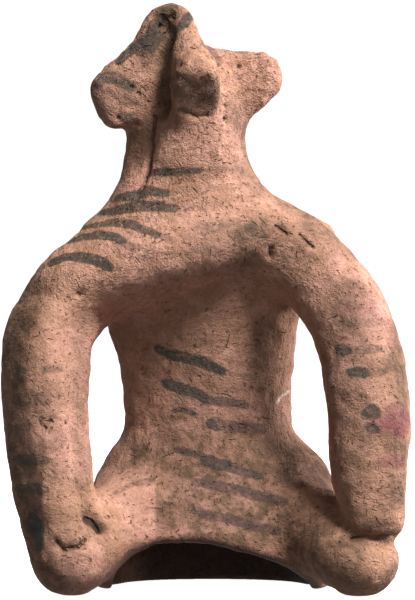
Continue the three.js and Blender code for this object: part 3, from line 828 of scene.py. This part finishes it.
body_colour = mixed(between(patches, 0.40, 0.62), pink, ochre)
browned = [
    # pattern, where it starts and ends, most
    (stains, 0.48, 0.64, 0.60),
    (mottle, 0.48, 0.74, 0.80),
    (grit, 0.40, 0.72, 0.65),
    (wiped, 0.50, 0.68, 0.40),
    (grain, 0.52, 0.70, 0.45),
]
for pattern, low, high, most in browned:
    body_colour = mixed(between(pattern, low, high, 0.0, most), body_colour, brown)
body_colour = mixed(sum_of(pale, 0.35, "MULTIPLY"), body_colour, straw_pale)
body_colour = mixed(sum_of(marks, 0.25, "MULTIPLY"), body_colour, pit_brown)
body_colour = mixed(sum_of(specks, 0.7, "MULTIPLY"), body_colour, pit_brown)
# Painted shade: folds and recesses browned by how closed in they are.
body_colour = mixed(between(attribute("fold_shade"), 0.85, 0.35, 0.0, 0.45), body_colour, brown)
# Chips and flakes show darker clay; the bottoms of pits and deeper creases are darkened as painted
# shade.
body_colour = mixed(between(attribute("broken_and_crease_shade"), 0.35, -0.35, 0.0, 0.75), body_colour, pit_brown)
crumbs = sum_of(attribute("coarse"), between(noise(420, 5, 0.75), 0.50, 0.64), "MULTIPLY")
body_colour = mixed(sum_of(crumbs, 0.55, "MULTIPLY"), body_colour, pit_brown)
soiled_and_shaded = sum_of(attribute("soil_and_shade"), between(noise(230, 4, 0.65), 0.34, 0.64, 0.50, 1.0), "MULTIPLY")
# Soil and painted shade darken the colour together.
body_colour = mixed(soiled_and_shaded, body_colour, soil_and_shade_brown)
body_colour = mixed(between(attribute("scratch"), 0.75, 0.25, 0.0, 0.85), body_colour, scratch_white)
blushed = sum_of(attribute("blush"), between(mottle, 0.30, 0.62, 0.45, 1.0), "MULTIPLY")
body_colour = mixed(blushed, body_colour, rose)

ragged = sum_of(sum_of(noise(620, 4, 0.66), -0.5), 1.7, "MULTIPLY")
edge = sum_of(attribute("painted"), ragged)
wash = between(edge, 0.30, -0.35)
bare = sum_of(noise(620, 5, 0.8), sum_of(attribute("strength"), 0.28, "MULTIPLY"))
wash = sum_of(wash, between(bare, 0.52, 0.77, 0.25, 1.0), "MULTIPLY")
wash = sum_of(wash, sum_of(attribute("strength"), 0.97, "MULTIPLY"), "MULTIPLY")
wash_colour = mixed(attribute("tint"), green_grey, plum_grey)
painted_colour = mixed(wash, body_colour, wash_colour)
# Painted shade: the hollow and the gap beside the left foot go near black.
hollow_shaded = sum_of(attribute("hollow_shade"), 0.9, "MULTIPLY")
link(mixed(hollow_shaded, painted_colour, painted_shade_black), shader.inputs["Base Color"])
link(between(grit, 0.3, 0.8, 0.82, 0.97), shader.inputs["Roughness"])
shader.inputs["Specular IOR Level"].default_value = 0.25

rise = sum_of(sum_of(grit, 0.30, "MULTIPLY"), sum_of(noise(340, 4, 0.65), 0.55, "MULTIPLY"))
rise = sum_of(rise, sum_of(marks, -0.6, "MULTIPLY"))
rise = sum_of(rise, sum_of(specks, -0.6, "MULTIPLY"))
rise = sum_of(rise, between(attribute("broken_and_crease_shade"), 0.3, -0.3, 0.0, -1.0))
rise = sum_of(rise, sum_of(grain, 0.22, "MULTIPLY"))
rise = sum_of(rise, sum_of(wiped, 0.30, "MULTIPLY"))
rise = sum_of(rise, sum_of(sum_of(attribute("coarse"), 0.8, "MULTIPLY"), 1.0), "MULTIPLY")
bump = tree.nodes.new("ShaderNodeBump")
bump.inputs["Distance"].default_value = 0.0014
bump.inputs["Strength"].default_value = 0.9
link(rise, bump.inputs["Height"])
link(bump.outputs["Normal"], shader.inputs["Normal"])
mesh.materials.append(clay)


# The floor and backdrop: one sheet of white paper, flat on the ground, then a quarter round and
# then upright. It glows a little so that it stays white, and throws no light on the figure.

paper_reach = 4.0
paper_bend = 0.8
paper_rise = 3.0
paper_half_width = 5.0
sweep = bpy.data.meshes.new("sweep")
t = np.linspace(0, 1, 25)[:, None]
bend = t * np.pi / 2
line = np.vstack([
    np.column_stack([-paper_reach + 2 * paper_reach * t, 0 * t]),
    np.column_stack([paper_reach + paper_bend * np.sin(bend), paper_bend - paper_bend * np.cos(bend)]),
    np.column_stack([paper_reach + paper_bend + 0 * t, paper_bend + paper_rise * t])])
verts = np.array([[x, y, z] for x in (-paper_half_width, paper_half_width) for y, z in line])
n = len(line)
sweep.from_pydata(verts.tolist(), [], [[i, i + 1, n + i + 1, n + i] for i in range(n - 1)])
floor = bpy.data.objects.new("sweep", sweep)
bpy.context.scene.collection.objects.link(floor)
paper = bpy.data.materials.new("white paper")
paper.use_nodes = True
paper_shader = paper.node_tree.nodes["Principled BSDF"]
paper_shader.inputs["Base Color"].default_value = (0.9, 0.9, 0.9, 1)
paper_shader.inputs["Roughness"].default_value = 1.0
paper_shader.inputs["Emission Color"].default_value = (1, 1, 1, 1)
paper_shader.inputs["Emission Strength"].default_value = 1.0
sweep.materials.append(paper)
floor.visible_diffuse = False

# Camera and light: the camera is level with the middle of the figure, 1.1 m in front of it. A
# key light high on the right leaves the left sides and the chest in shade, a low one from the
# side lights their right edges, and a weak one fills in from the front.

camera = bpy.data.objects.new("camera", bpy.data.cameras.new("camera"))
bpy.context.scene.collection.objects.link(camera)
camera.data.sensor_width = 36
camera.data.lens = 241.2
camera.location = (eye + moved) / 1000
camera.rotation_euler = (math.radians(90) - eye_tilt, 0, 0)
camera.data.clip_start = 0.01
bpy.context.scene.camera = camera


def lamp(name, turn, height, away, size, power, colour):
    """A square light `away` metres off, `turn` degrees to the right of the front and `height`
    degrees up, facing the figure's middle."""
    light = bpy.data.lights.new(name, "AREA")
    light.size = size
    light.energy = power
    light.color = colour
    holder = bpy.data.objects.new(name, light)
    bpy.context.scene.collection.objects.link(holder)
    a, e = math.radians(turn), math.radians(height)
    out = Vector((math.sin(a) * math.cos(e), -math.cos(a) * math.cos(e), math.sin(e)))
    holder.location = Vector((0, 0, 0.08)) + out * away
    holder.rotation_mode = "QUATERNION"
    holder.rotation_quaternion = out.to_track_quat("Z", "Y")


warm_white = (1, 0.98, 0.96)
lamp("key", turn=41, height=50, away=1.2, size=0.3, power=27, colour=warm_white)
lamp("side", turn=108, height=12, away=1.2, size=0.3, power=18, colour=warm_white)
lamp("front", turn=8, height=20, away=1.6, size=0.9, power=3.4, colour=(1, 1, 1))

world = bpy.data.worlds.new("room")
world.use_nodes = True
world.node_tree.nodes["Background"].inputs["Color"].default_value = (1, 0.97, 0.94, 1)
world.node_tree.nodes["Background"].inputs["Strength"].default_value = 0.06
bpy.context.scene.world = world
bpy.context.scene.view_settings.view_transform = "Standard"
